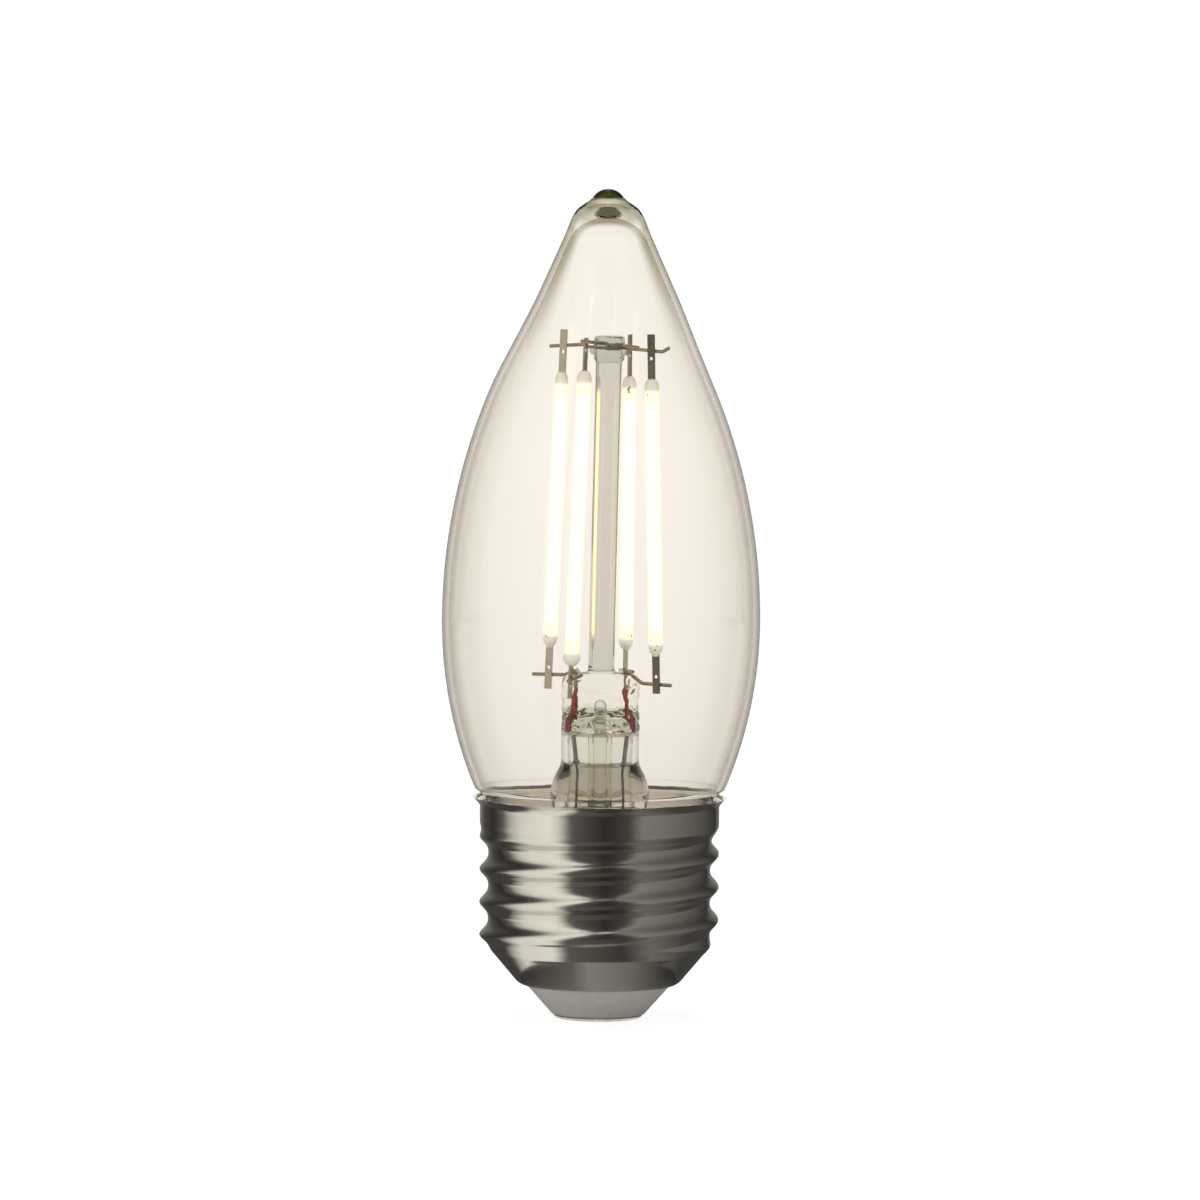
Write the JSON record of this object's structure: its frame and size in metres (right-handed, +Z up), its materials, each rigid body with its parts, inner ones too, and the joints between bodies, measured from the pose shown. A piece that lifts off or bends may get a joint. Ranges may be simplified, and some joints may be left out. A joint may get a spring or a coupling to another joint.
{
  "type": "light bulb",
  "caption": "Clear LED filament light bulb with a torpedo-shaped glass envelope, a glass stem with lit light strips and a nickel-plated medium screw cap.",
  "frame": {"origin": "centre of the flat underside of the centre contact, on the lamp's axis", "axes": "+Z up along the lamp's axis from the cap to the tip, +X to the right in the picture's view"},
  "size_m": [0.0348, 0.0348, 0.091],
  "materials": {
    "glass": "clear blown glass, polished",
    "phosphor": "yellow phosphor in silicone, lit warm white",
    "bead": "milky silicone drops",
    "substrate": "pale ceramic strip",
    "tab": "thin plated steel",
    "nickel_wire": "drawn nickel wire",
    "dumet": "copper-clad sealing wire, oxidised red",
    "outer_lead": "dull lead wire",
    "nickel_shell": "nickel-plated rolled sheet, soft gloss",
    "insulator": "grey satin moulding",
    "contact": "plated nail head",
    "cement": "dry yellowish basing cement",
    "board": "white solder mask",
    "black_plastic": "moulded package",
    "capacitor": "sleeved can",
    "resistor": "lacquered body",
    "copper_wire": "tinned copper wire"
  },
  "bodies": {
    "root": {"glass_envelope": "glass", "base_cement": "cement", "screw_shell": "nickel_shell", "insulator": "insulator", "centre_contact": "contact", "strip_1_substrate": "substrate", "strip_1_phosphor": "phosphor", "strip_1_upper_bead": "bead", "strip_1_lower_bead": "bead", "strip_1_upper_tab": "tab", "strip_1_lower_tab": "tab", "strip_2_substrate": "substrate", "strip_2_phosphor": "phosphor", "strip_2_upper_bead": "bead", "strip_2_lower_bead": "bead", "strip_2_upper_tab": "tab", "strip_2_lower_tab": "tab", "strip_3_substrate": "substrate", "strip_3_phosphor": "phosphor", "strip_3_upper_bead": "bead", "strip_3_lower_bead": "bead", "strip_3_upper_tab": "tab", "strip_3_lower_tab": "tab", "strip_4_substrate": "substrate", "strip_4_phosphor": "phosphor", "strip_4_upper_bead": "bead", "strip_4_lower_bead": "bead", "strip_4_upper_tab": "tab", "strip_4_lower_tab": "tab", "stem_flare": "glass", "exhaust_tube": "glass", "stem_rod": "glass", "support_wire_outer": "nickel_wire", "support_wire_inner": "nickel_wire", "inner_lead_left": "nickel_wire", "inner_lead_right": "nickel_wire", "branch_wire_left": "nickel_wire", "branch_wire_right": "nickel_wire", "dumet_left": "dumet", "dumet_right": "dumet", "outer_lead_left": "outer_lead", "outer_lead_right": "outer_lead", "driver_board": "board", "bridge_rectifier": "black_plastic", "driver_chip": "black_plastic", "filter_capacitor": "capacitor", "fusible_resistor": "resistor", "live_wire": "copper_wire", "neutral_wire": "copper_wire"}
  },
  "joints": []
}
